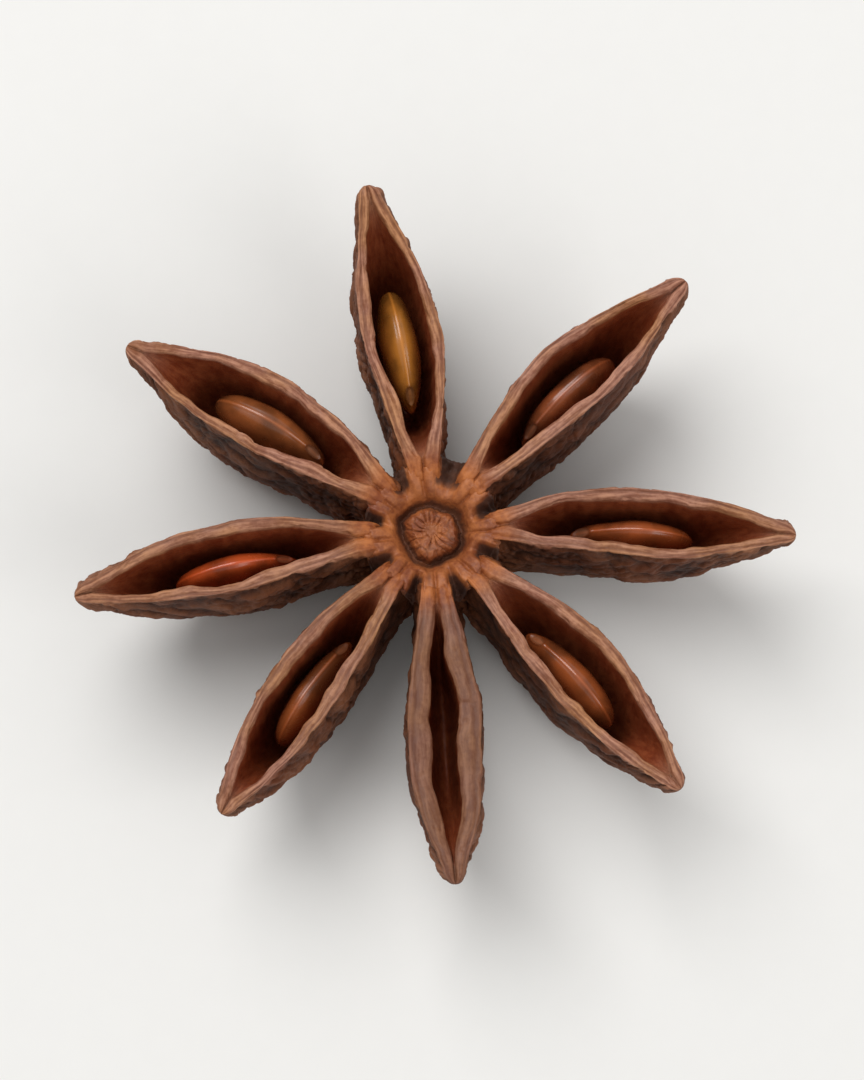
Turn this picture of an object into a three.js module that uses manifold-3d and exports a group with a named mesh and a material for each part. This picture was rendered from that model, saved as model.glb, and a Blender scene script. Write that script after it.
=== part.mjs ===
// Star anise pod: the dried fruit of Illicium verum, lying with its open side up.
//
// Eight woody follicles spread like a star from a short central column. Each one is a
// little boat: a deep keel below, a seam along the top that has split open between two
// lips, and a beak at the far end. Seven of them stand open far enough to show the flat,
// glossy seed that stands on edge inside. Underneath, the column ends in the stub of the
// broken stalk, which stays clear of the surface that the keels rest on.
//
// Millimetres, +Z up. The origin is on the column's axis, at the resting surface.

import * as THREE from "three";
import { mergeVertices } from "three/addons/utils/BufferGeometryUtils.js";
import Module from "manifold-3d";

// Heights over the resting surface.
const LIP_HEIGHT = 7.2; // top of the lips at mid length
const COLUMN_DIP = 1.2; // how far the lips drop towards the column
const ROOT_DIP = 0.5; // how much further they drop at the root, into the column's collar
const BEAK_LIFT = 1.1; // how far the beak rises over the lips
const BEAK_DEPTH = 0.7; // the beak's own depth, at its point
const BASE_HEIGHT = 1.8; // underside of a follicle where it leaves the column
const KEEL_FLAT = 0.12; // depth that is worn off each keel, so that it rests on a flat

// Powers of the share of the reach that shape those heights: the higher, the later and
// the steeper the change.
const COLUMN_DIP_POWER = 5;
const BEAK_LIFT_POWER = 7;
const BASE_RISE_POWER = 2;
const BEAK_RISE_POWER = 2.6;

// Shares of a follicle's reach, measured from the column's axis to the beak's point.
const ROOT = 0.115; // inner end
const ROOT_DIP_END = 0.17; // where the drop into the collar begins
const KEEL_LOWEST = 0.46; // where the keel touches the surface
const SLIT_START = 0.21; // inner end of the open seam
const SLIT_END = 0.95; // outer end of the open seam
const ROOT_ROUNDING = 0.035; // length over which the inner end is rounded off
const BEAK_ROUNDING = 0.03; // length over which the beak's point is rounded off

// Across a follicle.
const BELLY_OUTWARDS = 1.3; // over 1 moves the broadest place outwards
const BELLY_TAPER = 1.28; // over 1 hollows the outline towards both ends
const BEAK_HALF_WIDTH = 0.38;
const KEEL_BREADTH = 0.85; // how blunt the keel is, as a share of the half width
const FLANK_BREADTH = 1.18; // how full the flanks are, as a share of the half width
const FLANK_SWELL = 0.1; // how far the flanks swell beyond the lips
const ROOT_SWELL = 0.55; // how much more they swell at the root, where neighbours fuse
const ROOT_SWELL_END = 0.36; // share of the reach at which that has died away
const WALL = 0.55; // thickness of the woody wall at the flanks
const KEEL_WALL = 0.9; // thickness of the wall along the keel
const POCKET_START = 0.42; // shares of the reach between which the hollow is at its
const POCKET_END = 0.7; // deepest, round the seed
const SHALLOWS = 1.1; // depth of the hollow under the lips at its two ends
const LIP_WIDTH = 0.54; // width of a lip's pale edge where it is broadest
const LIP_NARROWING = 0.55; // share of that width that is left at the ends
const LIP_EDGE = 0.25; // how deep the upright inner edge of a lip is
const SLIT_OVERRUN = 1; // how far the cut of the seam runs over the lips
const THINNEST = 0.1; // least half width of a section below the lips
const NARROWEST_SLIT = 0.05; // least half width of the open seam

// Seeds.
const SEED_REACH = 0.55; // share of the reach at which a seed sits
const SEED_LENGTH = 5.2;
const SEED_HEIGHT = 4;
const SEED_CENTRE = 4.3; // height of its middle over the surface
const SEED_GAP = 0.2; // play between a seed and the wall on each side
const SEED_INNER_GIRTH = 0.8; // girth towards the column and towards the beak, as shares
const SEED_OUTER_GIRTH = 1.1; // of its full girth

// The follicles, anticlockwise from the one that points along +X: heading in degrees,
// reach of the beak from the axis, half width over the lips, how far the lips bow
// sideways at mid length (anticlockwise is positive), how far the beak is lifted, how far
// the lips curl in over the seam, and whether the seam shows a seed.
const FOLLICLES = [
  {
    name: "east", heading: -1.7, reach: 15.0, halfWidth: 1.48,
    bow: 0.5, lift: -0.2, curl: 0, seeded: true,
  },
  {
    name: "north_east", heading: 44.0, reach: 14.6, halfWidth: 1.58,
    bow: 0.55, lift: 0.3, curl: 0, seeded: true,
  },
  {
    name: "north", heading: 100.8, reach: 14.5, halfWidth: 1.62,
    bow: -0.3, lift: 0.1, curl: 0, seeded: true,
  },
  {
    name: "north_west", heading: 149.2, reach: 14.7, halfWidth: 1.7,
    bow: -0.65, lift: -0.3, curl: 0, seeded: true,
  },
  {
    name: "west", heading: 191.8, reach: 15.0, halfWidth: 1.46,
    bow: -0.5, lift: 0.1, curl: 0, seeded: true,
  },
  {
    name: "south_west", heading: 234.4, reach: 14.8, halfWidth: 1.52,
    bow: -0.45, lift: -0.1, curl: 0, seeded: true,
  },
  {
    name: "south", heading: 273.7, reach: 15.0, halfWidth: 1.58,
    bow: 0, lift: 0.2, curl: 0.5, seeded: false,
  },
  {
    name: "south_east", heading: 312.8, reach: 15.0, halfWidth: 1.6,
    bow: 0.5, lift: -0.1, curl: 0, seeded: true,
  },
];

// The column, as radius and height: broken stalk, underside, flanks, the collar that the
// follicles' inner ends rise from, the groove inside it and the button in the middle.
const COLUMN_PROFILE = [
  [0, 0.45],
  [0.7, 0.4],
  [0.8, 0.95],
  [1.4, 0.92],
  [1.95, 1.0],
  [2.35, 1.7],
  [2.6, 4.0],
  [2.75, 5.2],
  [2.75, 5.9],
  [2.5, 6.3],
  [1.9, 6.3],
  [1.5, 5.9],
  [1.3, 5.4],
  [1.15, 5.4],
  [1.0, 6.0],
  [0.6, 6.1],
  [0, 6.2],
];

// Mesh fineness.
const OUTER_SIDES = 14;
const OUTER_STATIONS = 17;
const CAVITY_SIDES = 12;
const CAVITY_STATIONS = 13;
const SEED_SIDES = 12;
const SEED_STATIONS = 8;
const COLUMN_SIDES = 24;

// Shares of half a section's outline that follow the wall. What is left of the outer
// surface closes it over the top, and what is left of the cavity rises and then closes.
const OUTER_WALL_SHARE = 1 - 2 / OUTER_SIDES;
const CAVITY_WALL_SHARE = 1 - 4 / CAVITY_SIDES;

const wasm = await Module();
wasm.setup();

// ---- The follicle's outline, as functions of the share t of its reach ----

const mix = THREE.MathUtils.lerp;

function lipHeight(t, follicle) {
  const collar = ROOT_DIP * (1 - THREE.MathUtils.smoothstep(t, ROOT, ROOT_DIP_END));
  const dip = COLUMN_DIP * (1 - t) ** COLUMN_DIP_POWER + collar;
  return LIP_HEIGHT - dip + BEAK_LIFT * t ** BEAK_LIFT_POWER + follicle.lift * t ** 2;
}

function keelHeight(t, follicle) {
  const inwards = Math.max(0, (KEEL_LOWEST - t) / KEEL_LOWEST);
  const outwards = Math.max(0, (t - KEEL_LOWEST) / (1 - KEEL_LOWEST));
  const base = BASE_HEIGHT * inwards ** BASE_RISE_POWER;
  const beak = (lipHeight(1, follicle) - BEAK_DEPTH) * outwards ** BEAK_RISE_POWER;
  return base + beak - KEEL_FLAT;
}

// Half width over the lips: nothing at the column, widest past mid length, a narrow beak.
function lipHalfWidth(t, follicle) {
  const belly = Math.sin(Math.PI * t ** BELLY_OUTWARDS) ** BELLY_TAPER;
  return mix(BEAK_HALF_WIDTH, follicle.halfWidth, belly);
}

function lipWidth(t) {
  return LIP_WIDTH * mix(LIP_NARROWING, 1, Math.sin(Math.PI * t));
}

// Half of a section as a curve from the bottom up to the lip. inset moves it into the wall.
function sectionCurve(t, follicle, inset, bottom, topHalfWidth, top) {
  const rootward = 1 - THREE.MathUtils.smoothstep(t, ROOT, ROOT_SWELL_END);
  const body = lipHalfWidth(t, follicle) + FLANK_SWELL + ROOT_SWELL * rootward;
  return new THREE.CubicBezierCurve(
    new THREE.Vector2(0, bottom),
    new THREE.Vector2(Math.max(THINNEST, KEEL_BREADTH * body - inset), bottom),
    new THREE.Vector2(Math.max(THINNEST, FLANK_BREADTH * body - inset), (bottom + top) / 2),
    new THREE.Vector2(topHalfWidth, top),
  );
}

// ---- Shaping ----

// A closed surface moulded from a sphere: place(along, around) gives the point at that
// share of the length and that angle round it, 0 at the keel and +-PI at the top.
function moulded(sides, stations, place) {
  const sphere = new THREE.SphereGeometry(1, sides, stations);
  sphere.deleteAttribute("normal");
  sphere.deleteAttribute("uv");
  const geometry = mergeVertices(sphere);
  const position = geometry.getAttribute("position");
  for (let i = 0; i < position.count; i += 1) {
    const along = (1 + position.getY(i)) / 2;
    const around = Math.atan2(position.getZ(i), -position.getX(i));
    const point = place(along, around);
    position.setXYZ(i, point.x, point.y, point.z);
  }
  return geometry;
}

// A point of a section in the follicle's own frame: X along its reach, Z up. The lips
// bow sideways in proportion to their height, while the keel stays straight.
function inFollicle(t, y, z, follicle) {
  const bowed = y + follicle.bow * Math.sin(Math.PI * t) * (z / LIP_HEIGHT);
  return new THREE.Vector3(t * follicle.reach, bowed, z);
}

// Full size along most of the length, falling to nothing in a quarter round at an end
// that is the given distance away.
function rounding(distance, length) {
  return Math.sqrt(1 - (1 - THREE.MathUtils.clamp(distance / length, 0, 1)) ** 2);
}

function outerSurface(follicle) {
  return moulded(OUTER_SIDES, OUTER_STATIONS, (along, around) => {
    const t = mix(ROOT, 1, along);
    const size = rounding(t - ROOT, ROOT_ROUNDING) * rounding(1 - t, BEAK_ROUNDING);
    const share = Math.abs(around) / Math.PI;
    const keel = keelHeight(t, follicle);
    const lip = lipHeight(t, follicle);
    const curve = sectionCurve(t, follicle, 0, keel, lipHalfWidth(t, follicle), lip);
    const wall = curve.getPoint(Math.min(1, share / OUTER_WALL_SHARE));
    const inwards = Math.max(0, (share - OUTER_WALL_SHARE) / (1 - OUTER_WALL_SHARE));
    const middle = (keel + lip) / 2;
    const y = Math.sign(around) * wall.x * (1 - inwards) * size;
    return inFollicle(t, y, mix(middle, wall.y, size), follicle);
  });
}

// The hollow of an open follicle, run on over the lips so that it cuts the seam open.
function cavitySurface(follicle) {
  return moulded(CAVITY_SIDES, CAVITY_STATIONS, (along, around) => {
    const t = mix(SLIT_START, SLIT_END, along);
    const swell = rounding(1 - Math.abs(2 * along - 1), 1);
    const lip = lipHeight(t, follicle);
    const top = lip + SLIT_OVERRUN;
    const share = Math.abs(around) / Math.PI;
    const open = lipHalfWidth(t, follicle) - lipWidth(t) - follicle.curl * swell;
    const slit = Math.max(NARROWEST_SLIT, open) * Math.min(1, swell * 2);
    const inner = THREE.MathUtils.smoothstep(t, SLIT_START, POCKET_START);
    const outer = 1 - THREE.MathUtils.smoothstep(t, POCKET_END, SLIT_END);
    const deepest = keelHeight(t, follicle) + KEEL_WALL;
    const floor = mix(lip - SHALLOWS, deepest, inner * outer);
    const curve = sectionCurve(t, follicle, WALL, floor, slit, lip - LIP_EDGE);
    const wall = curve.getPoint(Math.min(1, share / CAVITY_WALL_SHARE));
    const depth = mix(lip, wall.y, swell);
    const over = Math.max(0, (share - CAVITY_WALL_SHARE) / (1 - CAVITY_WALL_SHARE));
    const rise = Math.min(1, over * 2);
    const close = Math.max(0, over * 2 - 1);
    const y = Math.sign(around) * wall.x * (1 - close) * Math.min(1, swell * 2);
    return inFollicle(t, y, mix(depth, top, rise), follicle);
  });
}

// A flat seed on edge, blunt at the outer end and drawn to a point at the inner one.
function seedSurface(follicle) {
  const halfThickness = follicle.halfWidth - WALL - SEED_GAP;
  return moulded(SEED_SIDES, SEED_STATIONS, (along, around) => {
    const taper = mix(SEED_INNER_GIRTH, SEED_OUTER_GIRTH, along);
    const girth = rounding(1 - Math.abs(2 * along - 1), 1) * taper;
    const y = halfThickness * girth * Math.sin(around);
    const z = SEED_CENTRE - (SEED_HEIGHT / 2) * girth * Math.cos(around);
    const x = SEED_REACH * follicle.reach + SEED_LENGTH * (along - 0.5);
    return inFollicle(x / follicle.reach, y, z, follicle);
  });
}

// ---- Joining ----

function solid(geometry, turn = 0) {
  const placed = geometry.clone();
  placed.deleteAttribute("normal");
  placed.deleteAttribute("uv");
  placed.rotateZ(turn);
  const merged = mergeVertices(placed);
  const vertProperties = merged.getAttribute("position").array;
  const triVerts = new Uint32Array(merged.index.array);
  return new wasm.Manifold(new wasm.Mesh({ numProp: 3, vertProperties, triVerts }));
}

function geometryOf(manifold) {
  const mesh = manifold.getMesh();
  const geometry = new THREE.BufferGeometry();
  geometry.setAttribute("position", new THREE.BufferAttribute(mesh.vertProperties, 3));
  geometry.setIndex(new THREE.BufferAttribute(mesh.triVerts, 1));
  geometry.computeVertexNormals();
  return geometry;
}

function columnSolid() {
  const profile = COLUMN_PROFILE.map(([radius, height]) => new THREE.Vector2(radius, height));
  const lathe = new THREE.LatheGeometry(profile, COLUMN_SIDES);
  lathe.rotateX(Math.PI / 2);
  return solid(lathe);
}

// Everything below the resting surface, which trims the keels to their flats.
function belowSurface() {
  const side = 3 * Math.max(...FOLLICLES.map((follicle) => follicle.reach));
  const box = new THREE.BoxGeometry(side, side, LIP_HEIGHT);
  box.translate(0, 0, -LIP_HEIGHT / 2);
  return solid(box);
}

function podGeometry() {
  const joined = FOLLICLES.reduce(
    (pod, follicle) => pod.add(solid(outerSurface(follicle), heading(follicle))),
    columnSolid(),
  );
  const opened = FOLLICLES.reduce(
    (pod, follicle) => pod.subtract(solid(cavitySurface(follicle), heading(follicle))),
    joined,
  );
  return geometryOf(opened.subtract(belowSurface()));
}

function heading(follicle) {
  return THREE.MathUtils.degToRad(follicle.heading);
}

// ---- Finishes ----

const podSkin = new THREE.MeshStandardMaterial({ color: 0x7b4a31, roughness: 0.7, metalness: 0 });
const seedCoat = new THREE.MeshStandardMaterial({ color: 0x8e4f26, roughness: 0.25, metalness: 0 });

// ---- The pod ----

const starAnise = new THREE.Group();

const pod = new THREE.Mesh(podGeometry(), podSkin);
pod.name = "pod";
starAnise.add(pod);

for (const follicle of FOLLICLES.filter((candidate) => candidate.seeded)) {
  const seed = new THREE.Mesh(seedSurface(follicle), seedCoat);
  seed.name = `seed_${follicle.name}`;
  const turned = new THREE.Group();
  turned.rotation.z = heading(follicle);
  turned.add(seed);
  starAnise.add(turned);
}

export default starAnise;
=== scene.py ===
"""A dried star anise pod, lying on a pale table with its open side up.

Eight woody follicles stand round a short column. Each is a boat of wrinkled bark whose
top seam has split between two smooth lips; seven show the glossy seed inside.
"""

import math

import bpy
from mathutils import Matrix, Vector, noise


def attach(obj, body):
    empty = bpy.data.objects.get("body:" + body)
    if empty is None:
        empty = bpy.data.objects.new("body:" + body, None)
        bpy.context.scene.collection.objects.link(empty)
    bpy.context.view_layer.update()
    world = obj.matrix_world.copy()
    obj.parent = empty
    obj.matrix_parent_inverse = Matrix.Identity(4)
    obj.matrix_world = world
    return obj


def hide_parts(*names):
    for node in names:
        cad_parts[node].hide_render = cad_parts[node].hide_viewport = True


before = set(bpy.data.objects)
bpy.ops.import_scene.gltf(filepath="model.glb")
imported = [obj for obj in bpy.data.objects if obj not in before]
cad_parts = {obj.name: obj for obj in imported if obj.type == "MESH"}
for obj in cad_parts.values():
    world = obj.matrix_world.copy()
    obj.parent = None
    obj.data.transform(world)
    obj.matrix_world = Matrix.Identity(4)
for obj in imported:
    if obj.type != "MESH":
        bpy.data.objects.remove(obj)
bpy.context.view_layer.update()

MM = 0.001

# ---- The follicles: millimetres, and shares of a follicle's reach ----

# The crest of the lips dips towards the column and rises to the beak.
LIP_HEIGHT = 7.2
COLUMN_DIP = 1.2
ROOT_DIP = 0.5
ROOT_DIP_END = 0.17
BEAK_LIFT = 1.1

# The keel is worn flat at its lowest and turns up towards both ends.
BASE_HEIGHT = 1.8
KEEL_LOWEST = 0.46
KEEL_FLAT = 0.12
BEAK_DEPTH = 0.7
BEAK_UPTURN = 2.6

# The body between its rounded ends, and how far each section swells.
ROOT = 0.115
ROOT_ROUNDING = 0.035
BEAK_ROUNDING = 0.035
BELLY_OUTWARDS = 1.3
BELLY_TAPER = 1.28
BEAK_HALF_WIDTH = 0.38
KEEL_BREADTH = 0.85
FLANK_BREADTH = 1.18
FLANK_SWELL = 0.1
ROOT_SWELL = 0.55
ROOT_SWELL_END = 0.36

# The split seam and the hollow under it.
SLIT_START = 0.21
SLIT_END = 0.95
SLIT_OPENING = 1.6
SEAM_GAP = 0.03
POCKET_START = 0.42
POCKET_END = 0.7
KEEL_WALL = 0.8
SHALLOWS = 1.0
FLOOR_BREADTH = 0.75
HOLLOW_BREADTH = 1.1

# The lips, and how they waver where the column and the beak leave them free.
LIP_WIDTH = 0.54
LIP_NARROWING = 0.55
LIP_CROWN = 0.12
LIP_EDGE = 0.1
LIP_FLATNESS = 3.5
LIP_ROUNDING = 0.6
LIP_FREE_START = (0.2, 0.38)
LIP_FREE_END = (1.0, 0.88)
HEIGHT_WAVER = 0.7
EDGE_WAVER = 0.4
WIDTH_WAVER = 1.4

# A section is one strip that runs from the keel up the bark, over a lip and down the
# lining, on both sides. These are shares of half the strip.
BARK_END = 0.6
LIP_END = 0.7
BARK_FADE = (BARK_END + 0.006, BARK_END - 0.012)
BARK_RAGGEDNESS = 0.034
LAYER_LINE = 0.635
LAYER_BREADTH = 0.014
LAYER_WANDER = 0.05
LINING_FADE = (LIP_END - 0.004, LIP_END + 0.012)
RIBS_FADE = (1.0, 0.93)

# How far the fine shapes stand out or are sunk, and how soon they set in at the ends.
BARK_WRINKLES = 0.4
BARK_SHRINKAGE = 0.28
BARK_LUMPS = 0.35
LIP_GROOVES = 0.08
LIP_CHIPS = 0.07
LAYER_GROOVE = 0.05
LINING_RIBS = 0.05
END_FADE = 0.03

# What the bark's wrinkles are made up of, and what is left of the finer two where it
# is calm.
FOLDS = 0.46
NET = 0.34
PITS = 0.2
CALM = 0.4

# From the keel up to a lip where the follicle is broadest.
BARK_SPAN = 7.8

# The strip's points, how near its edges are when they are welded, and how far apart
# the follicles take their noise.
ROWS = 236
COLUMNS = 350
WELD = 0.003
VARIATION_STEP = 11.3

# name: heading in degrees, reach, half width, bow of the lips, lift of the beak,
# how far the lips curl in, how much higher the left lip stands, depth of the hollow,
# how dark the lips have gone
FOLLICLES = {
    "east": (-1.7, 15.0, 1.48, 0.5, -0.2, 0.0, 0.25, 1.0, 0.12),
    "north_east": (44.0, 14.6, 1.58, 0.55, 0.3, 0.0, 0.1, 1.0, 0.0),
    "north": (100.8, 14.5, 1.62, -0.3, 0.1, 0.0, 0.1, 1.0, 0.0),
    "north_west": (149.2, 14.7, 1.7, -0.65, -0.3, 0.0, -0.15, 1.0, 0.0),
    "west": (191.8, 15.0, 1.46, -0.5, 0.1, 0.0, -0.3, 1.0, 0.12),
    "south_west": (234.4, 14.8, 1.52, -0.45, -0.1, 0.0, -0.1, 1.0, 0.15),
    "south": (273.7, 15.0, 1.58, 0.0, 0.2, 0.5, 0.1, 0.8, 0.6),
    "south_east": (312.8, 15.0, 1.6, 0.5, -0.1, 0.0, 0.15, 1.0, 0.05),
}

# name: tint of the seed's coat, how far it lies to the left of the middle
SEEDS = {
    "east": ((153, 77, 38), -0.1),
    "north_east": ((151, 81, 46), -0.1),
    "north": ((172, 109, 42), 0.0),
    "north_west": ((152, 85, 44), 0.0),
    "west": ((182, 77, 34), 0.1),
    "south_west": ((150, 80, 40), 0.08),
    "south_east": ((149, 77, 38), -0.17),
}


def tint(red, green, blue):
    """A colour as mixed on a screen, 0 to 255, as the light it gives back."""
    parts = [part / 255 for part in (red, green, blue)]
    light = [p / 12.92 if p <= 0.04045 else ((p + 0.055) / 1.055) ** 2.4 for p in parts]
    return (*light, 1.0)


# ---- Reckoning with nodes ----


class Wire:
    """What a node gives out, ready to be reckoned with."""

    def __init__(self, bench, socket):
        self.bench = bench
        self.socket = socket

    def __add__(self, other):
        return self.bench.math("ADD", self, other)

    def __sub__(self, other):
        return self.bench.math("SUBTRACT", self, other)

    def __mul__(self, other):
        return self.bench.math("MULTIPLY", self, other)

    def __truediv__(self, other):
        return self.bench.math("DIVIDE", self, other)

    def __pow__(self, other):
        return self.bench.math("POWER", self, other)

    def __rsub__(self, other):
        return self.bench.math("SUBTRACT", other, self)

    __radd__ = __add__
    __rmul__ = __mul__


class Bench:
    """Lays out the nodes of one tree, for shapes and for finishes alike."""

    def __init__(self, tree):
        self.tree = tree

    def add(self, kind, inputs=None, output=0, **settings):
        """A new node with its inputs and settings, as what it gives out."""
        node = self.tree.nodes.new(kind)
        for name, value in settings.items():
            setattr(node, name, value)
        for key, value in (inputs or {}).items():
            self.plug(node.inputs[key], value)
        return Wire(self, node.outputs[output])

    def plug(self, socket, value):
        """Leads a wire into a socket, or sets a plain value on it."""
        if isinstance(value, Wire):
            self.tree.links.new(value.socket, socket)
        else:
            socket.default_value = value

    def math(self, operation, *values):
        return self.add("ShaderNodeMath", dict(enumerate(values)), operation=operation)

    def vectors(self, operation, *values):
        return self.add("ShaderNodeVectorMath", dict(enumerate(values)), operation=operation)

    def sin(self, value):
        return self.math("SINE", value)

    def cos(self, value):
        return self.math("COSINE", value)

    def sqrt(self, value):
        return self.math("SQRT", value)

    def size(self, value):
        return self.math("ABSOLUTE", value)

    def most(self, a, b):
        return self.math("MAXIMUM", a, b)

    def least(self, a, b):
        return self.math("MINIMUM", a, b)

    def held(self, value):
        """The value, kept from 0 to 1."""
        return self.least(self.most(value, 0.0), 1.0)

    def mix(self, a, b, share):
        return a + (b - a) * share

    def step(self, value, start, end):
        """0 before start, 1 after end, and smooth between them."""
        inputs = {"Value": value, "From Min": start, "From Max": end}
        return self.add("ShaderNodeMapRange", inputs, interpolation_type="SMOOTHSTEP")

    def vector(self, x, y, z):
        return self.add("ShaderNodeCombineXYZ", {"X": x, "Y": y, "Z": z})

    def parts(self, vector):
        node = self.tree.nodes.new("ShaderNodeSeparateXYZ")
        self.tree.links.new(vector.socket, node.inputs[0])
        return [Wire(self, node.outputs[axis]) for axis in "XYZ"]

    def clouds(self, place, scale=1.0, detail=2.0, roughness=0.5):
        """Soft noise, from 0 to 1."""
        inputs = {"Vector": place, "Scale": scale, "Detail": detail, "Roughness": roughness}
        return self.add("ShaderNodeTexNoise", inputs)

    def stretched(self, place, x, y):
        return self.vectors("MULTIPLY", place, (x, y, 1.0))

    def bent(self, place, scale, amount):
        """The place, shifted about by soft noise."""
        inputs = {"Vector": place, "Scale": scale, "Detail": 1.0}
        shift = self.add("ShaderNodeTexNoise", inputs, output="Color")
        shift = self.vectors("SUBTRACT", shift, (0.5, 0.5, 0.5))
        shift = self.vectors("MULTIPLY", shift, (amount, amount, amount))
        return self.vectors("ADD", place, shift)

    def swellings(self, place, gain):
        """Rounded swellings with sharp creases between them, 0 in a crease and up to 1."""
        swing = self.size(self.clouds(place, 1.0, 1.0) * 2 - 1)
        return self.held(swing * gain) ** 0.7


# ---- Shape trees ----


def new_tree(name, labels):
    """An empty shape tree with a named input for each size, its bench and those inputs."""
    tree = bpy.data.node_groups.new(name, "GeometryNodeTree")
    for label in labels:
        tree.interface.new_socket(label, in_out="INPUT", socket_type="NodeSocketFloat")
    tree.interface.new_socket("Mesh", in_out="OUTPUT", socket_type="NodeSocketGeometry")
    bench = Bench(tree)
    given = tree.nodes.new("NodeGroupInput")
    return bench, [Wire(bench, given.outputs[label]) for label in labels]


def keep(bench, mesh, name, value, kind="FLOAT"):
    """Writes a value on every point of the mesh, under a name."""
    inputs = {"Geometry": mesh, "Name": name, "Value": value}
    return bench.add("GeometryNodeStoreNamedAttribute", inputs, data_type=kind)


def kept(bench, name):
    """The number that every point of the mesh keeps under this name."""
    return bench.add("GeometryNodeInputNamedAttribute", {"Name": name}, data_type="FLOAT")


def strip(bench, rows, columns, start):
    """A grid that keeps for each point how far along it lies (start to 1, closer at both
    ends), how far round (-1 to 1) and how far from the middle line either way (0 to 1).
    The last holds on the welded edges too, where the two values of round cancel out."""
    inputs = {"Size X": 1.0, "Size Y": 2.0, "Vertices X": rows, "Vertices Y": columns + 1}
    mesh = bench.add("GeometryNodeMeshGrid", inputs)
    x, y, _ = bench.parts(bench.add("GeometryNodeInputPosition"))
    even = x + 0.5
    crowded = (1 - bench.cos(even * math.pi)) * 0.5
    mesh = keep(bench, mesh, "along", bench.mix(start, 1.0, bench.mix(even, crowded, 0.5)))
    mesh = keep(bench, mesh, "round", y)
    return keep(bench, mesh, "way", bench.size(y))


def closed_up(bench, mesh, place):
    """The strip moved to its place, its two long edges and its ends welded shut."""
    mesh = bench.add("GeometryNodeSetPosition", {"Geometry": mesh, "Position": place})
    return bench.add("GeometryNodeMergeByDistance", {"Geometry": mesh, "Distance": WELD})


def raised(bench, mesh, height):
    """Every point pushed out of the surface by its height."""
    normal = bench.add("GeometryNodeInputNormal")
    inputs = {0: normal, "Scale": height}
    push = bench.add("ShaderNodeVectorMath", inputs, operation="SCALE")
    return bench.add("GeometryNodeSetPosition", {"Geometry": mesh, "Offset": push})


def set_out(bench, mesh, heading, finish):
    """Turned to its heading, taken from millimetres to metres, smooth and finished."""
    inputs = {
        "Geometry": mesh,
        "Rotation": bench.vector(0.0, 0.0, bench.math("RADIANS", heading)),
        "Scale": (MM, MM, MM),
    }
    mesh = bench.add("GeometryNodeTransform", inputs)
    mesh = bench.add("GeometryNodeSetShadeSmooth", {"Geometry": mesh, "Shade Smooth": True})
    mesh = bench.add("GeometryNodeRealizeInstances", {"Geometry": mesh})
    mesh = bench.add("GeometryNodeSetMaterial", {"Geometry": mesh, "Material": finish})
    out = bench.tree.nodes.new("NodeGroupOutput")
    bench.plug(out.inputs["Mesh"], mesh)


def new_object(name, data):
    """An object of this data, put into the scene."""
    piece = bpy.data.objects.new(name, data)
    bpy.context.collection.objects.link(piece)
    return piece


def made(name, tree, values, finish):
    """A piece made by a tree with these values, as a plain mesh."""
    piece = new_object(name, bpy.data.meshes.new(name))
    modifier = piece.modifiers.new("shape", "NODES")
    modifier.node_group = tree
    for item in tree.interface.items_tree:
        if item.in_out == "INPUT":
            modifier[item.identifier] = float(values[item.name])
    bpy.context.view_layer.update()
    graph = bpy.context.evaluated_depsgraph_get()
    mesh = bpy.data.meshes.new_from_object(piece.evaluated_get(graph))
    piece.modifiers.clear()
    piece.data = mesh
    mesh.name = name
    mesh.materials.clear()
    mesh.materials.append(finish)
    return piece


# ---- The follicle ----


def rounding(bench, distance, length):
    """Full size, falling in a quarter round to nothing at the end."""
    left = 1 - bench.held(distance / length)
    return bench.sqrt(bench.most(1 - left * left, 0.0))


def arch(share, points):
    """A point on the curve that four corner points lead, as its two measures."""
    back = 1 - share
    weights = (
        back * back * back,
        back * back * share * 3,
        back * share * share * 3,
        share * share * share,
    )
    across = [weight * point[0] for weight, point in zip(weights, points)]
    up = [weight * point[1] for weight, point in zip(weights, points)]
    return sum(across[1:], across[0]), sum(up[1:], up[0])


def waver(bench, along, side, row):
    """Soft noise along a lip, from -0.5 to 0.5, which the lip on the other side and the
    noise of another row don't share."""
    return bench.clouds(bench.vector(along, side, row)) - 0.5


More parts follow.
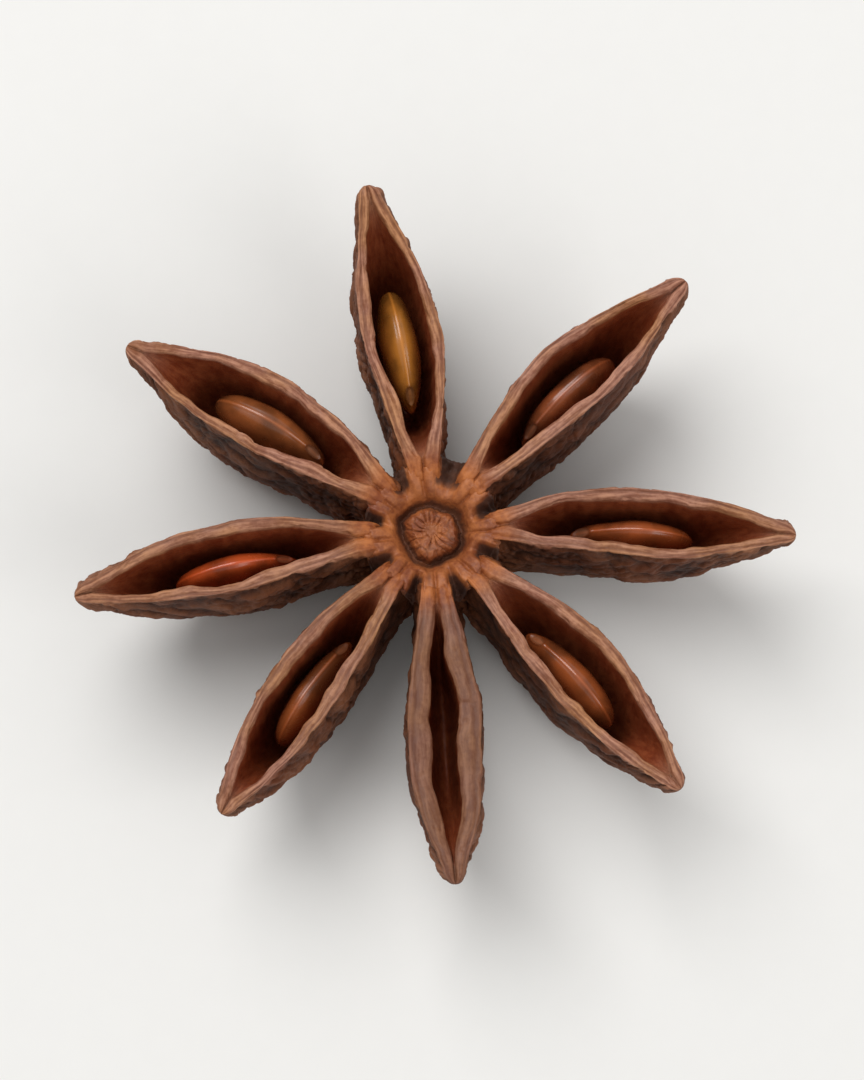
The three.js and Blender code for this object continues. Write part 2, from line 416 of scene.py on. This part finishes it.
def follicle_section(bench, sizes, t, side, way):
    """Where each point of the strip lies in its section, and how far round that is.

    Gives across, up, the height of the section's middle, the distance round from the
    keel, which runs back to nothing down the lining, how open the hollow is here, and
    the section's girth as a share of the fullest.
    """
    reach, half_width, lift, curl, lean, depth, variation = sizes
    up_bark = bench.held(way / BARK_END)
    over_lip = bench.held((way - BARK_END) / (LIP_END - BARK_END))
    down_lining = bench.held((way - LIP_END) / (1 - LIP_END))

    free = bench.step(t, *LIP_FREE_START) * bench.step(t, *LIP_FREE_END)
    sideways = waver(bench, t * reach * 0.28, side * 7.7, variation)
    upwards = waver(bench, t * reach * 0.3, side * 5.1, variation + 20)
    widening = waver(bench, t * reach * 0.45, side * 3.3, variation + 40)

    # The crest is level but for its ends, and the lips waver about it.
    crest = (
        LIP_HEIGHT - LIP_CROWN
        - COLUMN_DIP * (1 - t) ** 5
        - bench.step(t, ROOT_DIP_END, ROOT) * ROOT_DIP
        + BEAK_LIFT * t ** 7
        + lift * t * t
    )
    lip = crest + (upwards * HEIGHT_WAVER + side * lean * 0.5) * free
    inwards = bench.most((KEEL_LOWEST - t) / KEEL_LOWEST, 0.0)
    outwards = bench.most((t - KEEL_LOWEST) / (1 - KEEL_LOWEST), 0.0)
    beak = (LIP_HEIGHT + BEAK_LIFT - BEAK_DEPTH + lift) * outwards ** BEAK_UPTURN
    keel = BASE_HEIGHT * inwards * inwards + beak - KEEL_FLAT

    belly = bench.most(bench.sin(t ** BELLY_OUTWARDS * math.pi), 0.0) ** BELLY_TAPER
    edge = bench.mix(BEAK_HALF_WIDTH, half_width, belly) * (1 + sideways * free * EDGE_WAVER)
    body = edge + FLANK_SWELL + bench.step(t, ROOT_SWELL_END, ROOT) * ROOT_SWELL
    hollow = bench.held((t - SLIT_START) / (SLIT_END - SLIT_START))
    swell = bench.sqrt(bench.most(hollow * (1 - hollow) * 4, 0.0))
    opened = bench.least(swell * SLIT_OPENING, 1.0)
    lip_width = LIP_WIDTH * bench.mix(LIP_NARROWING, 1.0, bench.sin(t * math.pi))
    lip_width = lip_width * (1 + widening * free * WIDTH_WAVER)
    slit = bench.most((edge - lip_width - curl * swell) * opened, SEAM_GAP)

    bark = arch(up_bark, [
        (0.0, keel),
        (body * KEEL_BREADTH, keel),
        (body * FLANK_BREADTH, (keel + lip) * 0.5),
        (edge, lip),
    ])

    # The hollow is deep only round the seed and runs out towards both ends.
    pocket = bench.step(t, SLIT_START, POCKET_START) * bench.step(t, SLIT_END, POCKET_END) * depth
    low_crest = crest - LIP_EDGE
    low_lip = lip - LIP_EDGE
    floor = bench.mix(low_crest - SHALLOWS * swell, keel + KEEL_WALL, pocket)
    lining = arch(1 - down_lining, [
        (0.0, floor),
        (slit * FLOOR_BREADTH, floor),
        (slit * HOLLOW_BREADTH, (floor + low_lip) * 0.5),
        (slit, low_lip),
    ])
    lining_across = bench.mix(slit * (1 - down_lining), lining[0], opened)
    lining_up = bench.mix(bench.mix(low_lip, low_crest, down_lining), lining[1], opened)

    # A lip is a narrow band, nearly flat, with its two edges rounded over.
    rounded = (1 - bench.cos(over_lip * math.pi)) * 0.5
    bulge = 1 - bench.size(over_lip * 2 - 1) ** LIP_FLATNESS
    lip_across = bench.mix(edge, slit, bench.mix(over_lip, rounded, LIP_ROUNDING))
    lip_up = lip + bulge * LIP_CROWN - over_lip ** 3 * LIP_EDGE

    on_bark = bench.math("LESS_THAN", way, BARK_END)
    on_lining = bench.math("GREATER_THAN", way, LIP_END)
    on_lip = 1 - on_bark - on_lining
    across = bark[0] * on_bark + lip_across * on_lip + lining_across * on_lining
    up = bark[1] * on_bark + lip_up * on_lip + lining_up * on_lining
    distance = up_bark * BARK_SPAN + over_lip * LIP_WIDTH - down_lining * (BARK_SPAN + LIP_WIDTH)
    girth = bench.sqrt((crest - keel) / LIP_HEIGHT)
    return across, up, (keel + crest) * 0.5, distance, opened, girth


def bark_relief(bench, ground):
    """The dried bark: long folds, a net of wrinkles over them, and pits, 0 to 1."""
    loose = bench.bent(ground, 0.4, 2.2)
    folds = bench.swellings(bench.stretched(loose, 0.32, 0.6), 3.0)
    tight = bench.bent(ground, 0.9, 1.0)
    net = bench.swellings(bench.stretched(tight, 0.8, 1.25), 3.4)
    pits = bench.swellings(bench.stretched(tight, 2.3, 3.2), 3.0)
    lively = bench.step(bench.clouds(ground, 0.25, 1.0), 0.35, 0.6)
    return bench.held(folds * FOLDS + (net * NET + pits * PITS) * bench.mix(CALM, 1.0, lively))


# The numbers of a row of FOLLICLES, in their order, and where its noise is taken.
FOLLICLE_LABELS = (
    "Heading", "Reach", "Half Width", "Bow", "Lift", "Curl", "Lean", "Depth", "Shade",
    "Variation",
)


def follicle_tree(finish):
    """The shape of a follicle, with all that its finish needs to know."""
    bench, sizes = new_tree("follicle", FOLLICLE_LABELS)
    heading, reach, half_width, bow, lift, curl, lean, depth, shade, variation = sizes
    mesh = strip(bench, ROWS, COLUMNS, ROOT)
    t = kept(bench, "along")
    side = bench.math("SIGN", kept(bench, "round")) * -1
    way = kept(bench, "way")
    section = (reach, half_width, lift, curl, lean, depth, variation)
    across, up, middle, distance, opened, girth = follicle_section(bench, section, t, side, way)

    size = rounding(bench, t - ROOT, ROOT_ROUNDING) * rounding(bench, 1 - t, BEAK_ROUNDING)
    z = bench.mix(middle, up, size)
    y = side * across * size + bow * bench.sin(t * math.pi) * z / LIP_HEIGHT
    mesh = closed_up(bench, mesh, bench.vector(t * reach, y, z))

    # Zones of the finish. The bark ends in a ragged edge just under the lip.
    ground = bench.vector(t * reach, distance * side, variation)
    tears = bench.clouds(bench.stretched(ground, 1.5, 0.0), 1.0, 2.0, 0.6) - 0.5
    bark_zone = bench.step(way + tears * BARK_RAGGEDNESS, *BARK_FADE)
    lining_zone = bench.step(way, *LINING_FADE) * opened
    # Along each lip a fine line parts the bark from the harder layer inside it.
    wander = (bench.clouds(bench.stretched(ground, 0.6, 0.0)) - 0.5) * LAYER_WANDER
    parting = bench.step(bench.size(way + wander - LAYER_LINE), LAYER_BREADTH, 0.0)
    mesh = keep(bench, mesh, "skin", bark_zone)
    mesh = keep(bench, mesh, "lining", lining_zone)
    mesh = keep(bench, mesh, "layer", parting)
    mesh = keep(bench, mesh, "shade", shade)
    bark_ground = bench.vector(t * reach, distance * girth * side, variation)
    mesh = keep(bench, mesh, "relief", bark_relief(bench, bark_ground))
    mesh = keep(bench, mesh, "grain", ground, "FLOAT_VECTOR")

    # The bark shrinks back from the lips and wrinkles; the lips are grained along and
    # chipped in places; the lining is faintly ribbed downwards.
    skin = kept(bench, "skin")
    lined = kept(bench, "lining")
    wrinkles = kept(bench, "relief") * BARK_WRINKLES
    settle = bench.step(t, 1.0, 1.0 - END_FADE) * bench.step(t, ROOT, ROOT + END_FADE)
    lumps = bench.clouds(bench.stretched(ground, 0.3, 0.35), 1.0, 1.0) - 0.5
    bark = (wrinkles - BARK_SHRINKAGE + lumps * BARK_LUMPS) * skin
    grooves = bench.clouds(bench.stretched(ground, 0.7, 9.0)) - 0.5
    chips = bench.step(bench.clouds(bench.stretched(ground, 1.3, 2.5)), 0.6, 0.72)
    lip = grooves * LIP_GROOVES - chips * LIP_CHIPS - kept(bench, "layer") * LAYER_GROOVE
    lip = lip * (1 - skin) * (1 - lined)
    ribs = bench.clouds(bench.stretched(ground, 4.5, 0.5), 1.0, 1.0) - 0.5
    inside = ribs * LINING_RIBS * lined * bench.step(way, *RIBS_FADE)
    mesh = raised(bench, mesh, (bark + lip + inside) * settle)

    # Nothing reaches below the table.
    x, y, z = bench.parts(bench.add("GeometryNodeInputPosition"))
    rest = bench.vector(x, y, bench.most(z, 0.0))
    mesh = bench.add("GeometryNodeSetPosition", {"Geometry": mesh, "Position": rest})
    set_out(bench, mesh, heading, finish)
    return bench.tree


# ---- Seeds ----

SEED_ROWS = 100
SEED_COLUMNS = 150
SEED_REACH = 0.55
SEED_LENGTH = 5.2
SEED_HEIGHT = 4.0
SEED_CENTRE = 4.3
SEED_PLAY = 0.8
INNER_GIRTH = 0.8
OUTER_GIRTH = 1.1
SIDE_FULLNESS = 0.8

# The ridge over the top edge, and the scar with its rim at the inner end: half widths
# and half lengths, the rim's as a share of the scar's, where along the seed the scar
# lies, and how far each stands out or is sunk.
RIDGE_BREADTH = 0.11
SCAR_PLACE = 0.11
SCAR_LENGTH = 0.34
SCAR_BREADTH = 0.17
RIM_BREADTH = 0.45
RIDGE_HEIGHT = 0.035
RIM_HEIGHT = 0.035
SCAR_DEPTH = 0.05
SEED_DENTS = 0.22


def seed_tree(finish):
    """The shape of a seed, flat and upright, and bent sideways with its follicle."""
    labels = ["Heading", "Reach", "Half Width", "Bow", "Sway", "Variation"]
    bench, (heading, reach, half_width, bow, sway, variation) = new_tree("seed", labels)
    mesh = strip(bench, SEED_ROWS, SEED_COLUMNS, 0.0)
    along = kept(bench, "along")
    outline = bench.sqrt(bench.most(along * (1 - along) * 4, 0.0))
    girth = outline * bench.mix(INNER_GIRTH, OUTER_GIRTH, along)
    sine = bench.sin(kept(bench, "round") * -math.pi)
    cosine = bench.cos(kept(bench, "way") * math.pi)
    full = bench.math("SIGN", sine) * bench.size(sine) ** SIDE_FULLNESS
    y = (half_width - SEED_PLAY) * girth * full
    z = SEED_CENTRE - SEED_HEIGHT / 2 * girth * cosine
    x = reach * SEED_REACH + (along - 0.5) * SEED_LENGTH
    shift = bow * bench.sin(x / reach * math.pi) * z / LIP_HEIGHT + sway
    mesh = closed_up(bench, mesh, bench.vector(x, y + shift, z))

    # A fine ridge runs over the top edge to the scar at the inner end.
    top = bench.step(cosine, 0.0, -0.6)
    ridge = bench.step(bench.size(y), RIDGE_BREADTH, 0.0) * top
    far_x = (along - SCAR_PLACE) * SEED_LENGTH / SCAR_LENGTH
    far = bench.sqrt(far_x * far_x + (y / SCAR_BREADTH) ** 2)
    rim = bench.step(bench.size(far - 1), RIM_BREADTH, 0.0) * top
    scar = bench.step(far, 1.0, 0.8) * top
    mesh = keep(bench, mesh, "ridge", ridge)
    mesh = keep(bench, mesh, "scar", scar)
    mesh = keep(bench, mesh, "rim", rim)
    dents = bench.clouds(bench.vector(x, y, z + variation), 0.45, 1.0) - 0.5
    height = (
        dents * SEED_DENTS
        + kept(bench, "ridge") * RIDGE_HEIGHT * (1 - kept(bench, "scar"))
        + kept(bench, "rim") * RIM_HEIGHT
        - kept(bench, "scar") * SCAR_DEPTH
    )
    mesh = raised(bench, mesh, height * bench.step(along * (1 - along), 0.0, END_FADE))
    set_out(bench, mesh, heading, finish)
    return bench.tree


# ---- The column in the middle ----

# Radius and height, from the broken stalk below, out over the rim, in through the moat
# and up onto the button.
COLUMN_PROFILE = [
    (0.0, 0.5), (0.45, 0.42), (0.7, 0.5), (0.77, 0.8), (0.92, 1.0), (1.4, 0.92), (1.95, 1.0),
    (2.35, 1.7), (2.6, 4.0), (2.75, 5.2), (2.85, 5.9), (2.8, 6.4), (2.58, 6.66), (2.3, 6.66),
    (2.0, 6.52), (1.74, 6.3), (1.55, 6.0), (1.42, 5.68), (1.31, 5.42), (1.2, 5.36), (1.11, 5.6),
    (1.0, 6.0), (0.8, 6.22), (0.6, 6.16), (0.48, 6.12), (0.36, 6.18), (0.2, 6.22), (0.0, 6.18),
]
COLUMN_TURNS = 380
COLUMN_STEPS = 5
HEADINGS = [math.radians(sizes[0]) for sizes in FOLLICLES.values()]

# The button ends in a moat. Round it each follicle's two lips run inwards as a pair of
# ridges, with a shut seam between them, and clefts part the pairs.
MOAT = 1.3
INNER_EDGE = 0.42
OUTER_EDGE = 0.58
EDGE_WOBBLE = 0.05
SEAM = 0.2
SEAM_BREADTH = 0.075
CLEFT = 1.7
WEB = 2.2
WIDEST_WEB = math.radians(28)

# How far the fine shapes stand out of the column, and how much of the bark's folds
# shows as shade.
COLUMN_LUMPS = 0.1
BUTTON_CREASES = 0.09
COLUMN_GRAIN = 0.04
RIM_GRAIN = 0.05
FIBRES = 0.07
RING_SWAY = 0.2
RING_RIPPLES = 0.08
UNDERSIDE_FOLDS = 0.22
UNDERSIDE_CLEFTS = 0.5
FOLD_SHADE = 0.38


def eased_profile(points, steps):
    """The profile's points, joined by smooth curves."""
    path = [Vector(p) for p in points]
    path = [path[0]] + path + [path[-1]]
    smooth = []
    for a, b, c, d in zip(path, path[1:], path[2:], path[3:]):
        for k in range(steps):
            s = k / steps
            smooth.append(
                0.5 * ((2 * b) + (c - a) * s + (2 * a - 5 * b + 4 * c - d) * s * s
                       + (3 * b - a - 3 * c + d) * s ** 3)
            )
    smooth.append(path[-1])
    return smooth


def eased(value, start, end):
    """0 before start, 1 after end, and smooth between them."""
    share = min(1.0, max(0.0, (value - start) / (end - start)))
    return share * share * (3 - 2 * share)


def turned(angle, radius, height):
    """The place at this angle round the column. Noise read there closes on itself."""
    return Vector((math.cos(angle) * radius, math.sin(angle) * radius, height))


def rosette(radius, angle):
    """Where a point of the collar lies among the lips that it carries on inwards.

    Gives how deep in a cleft between two pairs the point lies and how far it is off the
    lips, both from 0 to 1, how deep in the shut seam of a pair, and half the angle
    between the two nearest follicles.
    """
    gaps = [(abs(math.remainder(angle - heading, math.tau)), heading) for heading in HEADINGS]
    (near, heading), (far, _) = sorted(gaps)[:2]
    wobble = noise.noise(Vector((radius * 1.7, heading * 9, 0))) * EDGE_WOBBLE
    across = abs(radius * math.sin(near) + wobble)
    share = (near + far) / 2
    middle = radius * math.sin(share)
    # A pair widens outwards. Near the moat, where the pairs crowd, it leaves some of its
    # room to the clefts.
    edge = INNER_EDGE + (OUTER_EDGE - INNER_EDGE) * eased(radius, 1.7, 2.6)
    edge = min(edge, middle * 0.8)
    cleft = eased(across, edge - 0.1, middle)
    flank = eased(across, edge - 0.05, edge + 0.12)
    seam = math.exp(-((across / SEAM_BREADTH) ** 2))
    return cleft, flank, seam, share


def weathered(spot):
    """A point of the column, shaped and pushed about, and how dark the wood is there, from its
    own colour and from painted shade.
    """
    radius = math.hypot(spot.x, spot.y)
    angle = math.atan2(spot.y, spot.x)
    outwards = Vector((spot.x, spot.y, 0)).normalized() if radius else Vector((0, 0, 0))
    lumps = noise.fractal(spot * 1.1, 1.0, 2.0, 2) * COLUMN_LUMPS
    crease = min(1.0, abs(noise.noise(turned(angle, 2.2, radius * 1.3))) * 4) - 1
    coarseness = COLUMN_GRAIN + RIM_GRAIN * eased(radius, 2.2, 2.7)
    grain = noise.fractal(spot * 6.0, 1.0, 2.0, 3) * coarseness
    button = eased(radius, 0.0, 0.6) * eased(radius, MOAT, 1.0)
    cleft, flank, seam, share = rosette(radius, angle)
    above = eased(spot.z, 3.0, 5.5)
    sunk = cleft * eased(radius, 1.5, 2.9) * CLEFT + seam * eased(radius, 1.35, 1.8) * SEAM
    fibre = noise.noise(turned(angle, 9, radius * 0.8)) * eased(radius, 1.35, 1.7) * above
    rise = lumps + crease * BUTTON_CREASES * button + grain + fibre * FIBRES - sunk * above
    ring = eased(radius, 0.5, 1.1) * eased(radius, 2.2, 1.6) * above
    sway = noise.noise(turned(angle, 1.3, 7)) * RING_SWAY * ring
    sway += noise.noise(turned(angle, 4, 3)) * RING_RIPPLES * ring
    web = max(0.0, share / WIDEST_WEB - 0.8) * flank * eased(radius, 2.0, 2.8) * WEB

    # The wood is dim off the lips, between fibres, in the scar at the very middle and in the
    # button's creases.
    # The moat gets painted shade, darker the deeper it goes.
    moat = eased(spot.z, 6.2, 5.4) * 0.65
    scar = eased(radius, 0.75, 0.15) * 0.36
    dim_and_painted_shade = max(moat, flank * eased(radius, 1.7, 2.3), -fibre * 0.5, scar, -crease * button * 0.5)

    # The underside is bark: folded, and sunk between the keels.
    below = eased(spot.z, 4.6, 3.0) * eased(radius, 0.2, 0.5)
    fold = min(1.0, abs(noise.noise(turned(angle, 2.6, spot.z * 0.8 + radius * 1.3))) * 3.5) - 1
    spread = eased(radius, 0.7, 1.8)
    bark = (fold * UNDERSIDE_FOLDS - cleft * UNDERSIDE_CLEFTS) * spread * below
    dim_and_painted_shade = max(dim_and_painted_shade * (1 - below), below * (1 - FOLD_SHADE - fold * FOLD_SHADE))
    side = outwards * (lumps * 0.6 + grain + sway + web + bark)
    return spot + side + Vector((0, 0, rise - bark)), dim_and_painted_shade


def column(finish):
    """The column, turned from its profile and then weathered point by point."""
    profile = eased_profile(COLUMN_PROFILE, COLUMN_STEPS)
    turns = COLUMN_TURNS
    spots = []
    for ring, (radius, height) in enumerate(profile):
        if ring in (0, len(profile) - 1):
            spots.append(Vector((0, 0, height)))
            continue
        for turn in range(turns):
            spots.append(turned(math.tau * turn / turns, radius, height))
    points, dim_and_shade_values = zip(*[weathered(spot) for spot in spots])

    # A fan of triangles at either end, and rings of four-cornered faces between them.
    faces = []
    rings = len(profile) - 2
    for here in range(turns):
        after = (here + 1) % turns
        faces.append((0, 1 + after, 1 + here))
        for ring in range(rings - 1):
            low = 1 + ring * turns
            high = low + turns
            faces.append((low + here, low + after, high + after, high + here))
        top = 1 + (rings - 1) * turns
        faces.append((top + here, top + after, len(points) - 1))
    mesh = bpy.data.meshes.new("column")
    mesh.from_pydata([p * MM for p in points], [], faces)
    mesh.attributes.new("dim_and_painted_shade", "FLOAT", "POINT").data.foreach_set("value", dim_and_shade_values)
    mesh.materials.append(finish)
    mesh.shade_smooth()
    return new_object("column", mesh)


# ---- Finishes ----

# Clouds in a finish: how many to the metre, their detail and their roughness.
PATCHES = (260.0, 3.0, 0.6)
HEART_MOTTLE = (700.0, 4.0, 0.65)
MOTTLE = (900.0, 3.0, 0.65)
FINE = (4200.0, 3.0, 0.65)
GRIT = (12000.0, 2.0, 0.6)
SEED_MOTTLE = (420.0, 3.0, 0.6)
SEED_FINE = (3000.0, 2.0, 0.5)
TABLE_FINE = (900.0, 2.0, 0.5)

# Bumps too fine for the mesh: their strength, and their depth in metres.
WOOD_BUMP = (0.6, 0.00008)
SEED_BUMP = (0.15, 0.00005)
TABLE_BUMP = (0.02, 0.00002)


def finish_bench(name):
    """A new finish without any nodes, and the bench to lay them out on."""
    finish = bpy.data.materials.new(name)
    finish.use_nodes = True
    finish.node_tree.nodes.clear()
    return finish, Bench(finish.node_tree)


def blend(bench, share, low, high):
    """A colour between two colours. The node's sockets for colours share their names
    with those for numbers, so they are taken by their places."""
    node = bench.tree.nodes.new("ShaderNodeMix")
    node.data_type = "RGBA"
    bench.plug(node.inputs[0], share)
    bench.plug(node.inputs[6], low)
    bench.plug(node.inputs[7], high)
    return Wire(bench, node.outputs[2])


def close_finish(bench, colour, roughness, relief, bump, **fixed):
    """Ends a finish in a shader. What is the same all over is set on its own sockets."""
    shader = bench.tree.nodes.new("ShaderNodeBsdfPrincipled")
    bench.plug(shader.inputs["Base Color"], colour)
    bench.plug(shader.inputs["Roughness"], roughness)
    for label, value in fixed.items():
        shader.inputs[label.replace("_", " ")].default_value = value
    strength, distance = bump
    inputs = {"Strength": strength, "Distance": distance, "Height": relief}
    bench.plug(shader.inputs["Normal"], bench.add("ShaderNodeBump", inputs))
    out = bench.tree.nodes.new("ShaderNodeOutputMaterial")
    bench.tree.links.new(shader.outputs["BSDF"], out.inputs["Surface"])


def attribute(bench, name, output="Fac"):
    """What the mesh keeps under this name."""
    node = bench.tree.nodes.new("ShaderNodeAttribute")
    node.attribute_name = name
    return Wire(bench, node.outputs[output])


def object_place(bench):
    return bench.add("ShaderNodeTexCoord", output="Object")


def heart_colour(bench, where):
    """The pale wood in the middle, where the follicles meet."""
    mottle = bench.clouds(where, *HEART_MOTTLE)
    fine = bench.clouds(where, *FINE)
    tone = bench.step(mottle + (fine - 0.5) * 0.4, 0.3, 0.72)
    return blend(bench, tone, tint(120, 58, 26), tint(179, 106, 55))


def shell_finish():
    """Bark, lips and lining of a follicle, told apart by what its mesh keeps."""
    finish, bench = finish_bench("pod_shell")
    where = object_place(bench)
    grain = attribute(bench, "grain", "Vector")
    skin = attribute(bench, "skin")
    lining = attribute(bench, "lining")
    relief = attribute(bench, "relief")
    along = attribute(bench, "along")
    patches = bench.step(bench.clouds(where, *PATCHES), 0.36, 0.66)
    mottle = bench.step(bench.clouds(where, *MOTTLE), 0.32, 0.68)
    fine = bench.clouds(where, *FINE)
    speck = fine - 0.5
    grit = bench.clouds(where, *GRIT)

    # The bark is dark in its wrinkles, partly as painted shade, brown where it stands out, and
    # worn pale there near the beak.
    valley = blend(bench, mottle, tint(42, 20, 11), tint(66, 34, 19))
    crest = blend(bench, patches, tint(104, 55, 30), tint(132, 82, 54))
    wear_and_shade = relief + speck * 0.5 + (grit - 0.5) * 0.4
    bark = blend(bench, bench.step(wear_and_shade, 0.1, 0.85), valley, crest)
    tip = bench.step(along, 0.84, 0.99) * 0.5
    bark = blend(bench, tip * bench.step(relief, 0.1, 0.7), bark, tint(156, 112, 88))

    # The lips are threaded lengthways, with the line of the harder layer along them.
    threads = bench.clouds(bench.stretched(grain, 0.8, 9.0), 1.0, 3.0, 0.65)
    lip_tone = bench.step(threads + speck * 0.4, 0.3, 0.72)
    lip_dark = blend(bench, patches, tint(124, 74, 54), tint(130, 80, 48))
    lip_pale = blend(bench, patches, tint(182, 130, 106), tint(184, 130, 90))
    lip = blend(bench, lip_tone, lip_dark, lip_pale)
    lip = blend(bench, attribute(bench, "layer") * 0.55, lip, tint(92, 50, 34))
    lip = blend(bench, attribute(bench, "shade"), lip, tint(84, 50, 36))

    # The lining is smoother and redder, ribbed downwards.
    ribs = bench.clouds(bench.stretched(grain, 2.4, 0.7), 1.0, 4.0, 0.65)
    inner_tone = bench.step(ribs + speck * 0.3, 0.25, 0.75)
    inner = blend(bench, inner_tone, tint(120, 51, 28), tint(158, 84, 50))

    colour = blend(bench, lining, blend(bench, skin, lip, bark), inner)
    hub = bench.step(along, 0.26, 0.175) * (1 - lining) * (1 - skin * 0.8)
    colour = blend(bench, hub, colour, heart_colour(bench, where))
    roughness = 0.52 + skin * 0.18 - lining * 0.18 + speck * 0.2
    rough = fine * 0.5 + threads * 0.3 * (1 - skin) + mottle * 0.2 + grit * 0.3 * skin
    close_finish(bench, colour, roughness, rough, WOOD_BUMP, Specular_IOR_Level=0.28)
    return finish


def seed_finish(name, shade):
    """A seed's glossy coat, with its paler ridge and the dull scar in its dark rim."""
    finish, bench = finish_bench(name)
    where = object_place(bench)
    mottle = bench.clouds(where, *SEED_MOTTLE)
    fine = bench.clouds(where, *SEED_FINE)
    ridge = attribute(bench, "ridge")
    scar = attribute(bench, "scar")
    rim = attribute(bench, "rim")
    dark = tint(*(part * 0.62 for part in shade))
    pale = tint(*(min(255, part * 1.25) for part in shade))
    colour = blend(bench, bench.step(mottle, 0.34, 0.66), dark, tint(*shade))
    colour = blend(bench, ridge * 0.5, colour, pale)
    colour = blend(bench, rim * 0.45, colour, tint(70, 34, 20))
    colour = blend(bench, scar * 0.5, colour, tint(128, 84, 54))
    roughness = 0.26 + (fine - 0.5) * 0.12 + scar * 0.3
    coat = {"Coat_Weight": 0.25, "Coat_Roughness": 0.12}
    close_finish(bench, colour, roughness, fine, SEED_BUMP, **coat)
    return finish


def column_finish():
    """The heart wood of the column, dark wherever its mesh is dim, which includes the painted
    shade in the moat and in the underside's folds.
    """
    finish, bench = finish_bench("pod_column")
    where = object_place(bench)
    mottle = bench.clouds(where, *MOTTLE)
    fine = bench.clouds(where, *FINE)
    ragged = attribute(bench, "dim_and_painted_shade") + (mottle - 0.5) * 0.9 + (fine - 0.5) * 0.5
    dim_and_painted_shade = bench.step(ragged, 0.2, 0.8)
    deep = blend(bench, bench.step(mottle, 0.35, 0.65), tint(52, 28, 18), tint(88, 50, 32))
    colour = blend(bench, dim_and_painted_shade * 0.9, heart_colour(bench, where), deep)
    roughness = 0.56 + (fine - 0.5) * 0.2 + dim_and_painted_shade * 0.16
    close_finish(bench, colour, roughness, fine * 0.5 + mottle * 0.3, WOOD_BUMP)
    return finish


def table_finish():
    finish, bench = finish_bench("pale_table")
    fine = bench.clouds(object_place(bench), *TABLE_FINE)
    colour = blend(bench, fine, tint(227, 226, 223), tint(229, 228, 225))
    close_finish(bench, colour, 0.85, fine, TABLE_BUMP)
    return finish


# ---- The pod ----


def pod():
    """Every piece of the pod, each with the node it replaces and its body."""
    shell = shell_finish()
    hull = follicle_tree(shell)
    # Each seed gets a coat of its own when it is made.
    kernel = seed_tree(None)
    pieces = []
    for number, (name, sizes) in enumerate(FOLLICLES.items(), start=1):
        values = dict(zip(FOLLICLE_LABELS, (*sizes, VARIATION_STEP * number)))
        piece = made(f"follicle_{name}", hull, values, shell)
        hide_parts("pod")
        pieces.append(piece)
        if name in SEEDS:
            shade, sway = SEEDS[name]
            coat = seed_finish(f"seed_coat_{name}", shade)
            seed = made(f"seed_body_{name}", kernel, dict(values, Sway=sway), coat)
            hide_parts(f"seed_{name}")
            pieces.append(seed)
    middle = column(column_finish())
    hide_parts("pod")
    pieces.append(middle)
    for piece in pieces:
        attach(piece, "root")


# ---- Table, lights and camera: metres, watts, and millimetres for the lens ----

TABLE_REACH = 1.5
AIM = Vector((0, 0, 0.004))
LAMP_BREADTH = 0.36
KEY_PLACE = (-0.14, 0.2, 0.4)
KEY_POWER = 1.5
FILL_PLACE = (0.3, -0.2, 0.3)
FILL_POWER = 0.6
STUDIO_GLOW = 0.5
CAMERA_ELEVATION = math.radians(80)
CAMERA_DISTANCE = 0.3
FOCAL_LENGTH = 240
SENSOR_WIDTH = 36


def table():
    reach = TABLE_REACH
    mesh = bpy.data.meshes.new("table")
    corners = [(-reach, -reach, 0), (reach, -reach, 0), (reach, reach, 0), (-reach, reach, 0)]
    mesh.from_pydata(corners, [], [(0, 1, 2, 3)])
    mesh.materials.append(table_finish())
    top = new_object("table", mesh)


def aimed(piece, place):
    """The piece put in its place and turned to look at the pod."""
    piece.location = place
    piece.rotation_euler = (AIM - piece.location).to_track_quat("-Z", "Y").to_euler()
    return piece


def lamp(name, place, power):
    light = bpy.data.lights.new(name, "AREA")
    light.shape = "DISK"
    light.size = LAMP_BREADTH
    light.energy = power
    aimed(new_object(name, light), place)


def lights():
    lamp("key", KEY_PLACE, KEY_POWER)
    lamp("fill", FILL_PLACE, FILL_POWER)
    world = bpy.data.worlds.new("studio")
    world.use_nodes = True
    background = world.node_tree.nodes["Background"]
    background.inputs["Color"].default_value = (1, 1, 1, 1)
    background.inputs["Strength"].default_value = STUDIO_GLOW
    bpy.context.scene.world = world


def camera():
    lens = bpy.data.cameras.new("camera")
    lens.lens = FOCAL_LENGTH
    lens.sensor_width = SENSOR_WIDTH
    direction = Vector((0, -math.cos(CAMERA_ELEVATION), math.sin(CAMERA_ELEVATION)))
    place = AIM + CAMERA_DISTANCE * direction
    bpy.context.scene.camera = aimed(new_object("camera", lens), place)


pod()
table()
lights()
camera()

bpy.context.scene.view_settings.view_transform = "Standard"
bpy.context.view_layer.update()
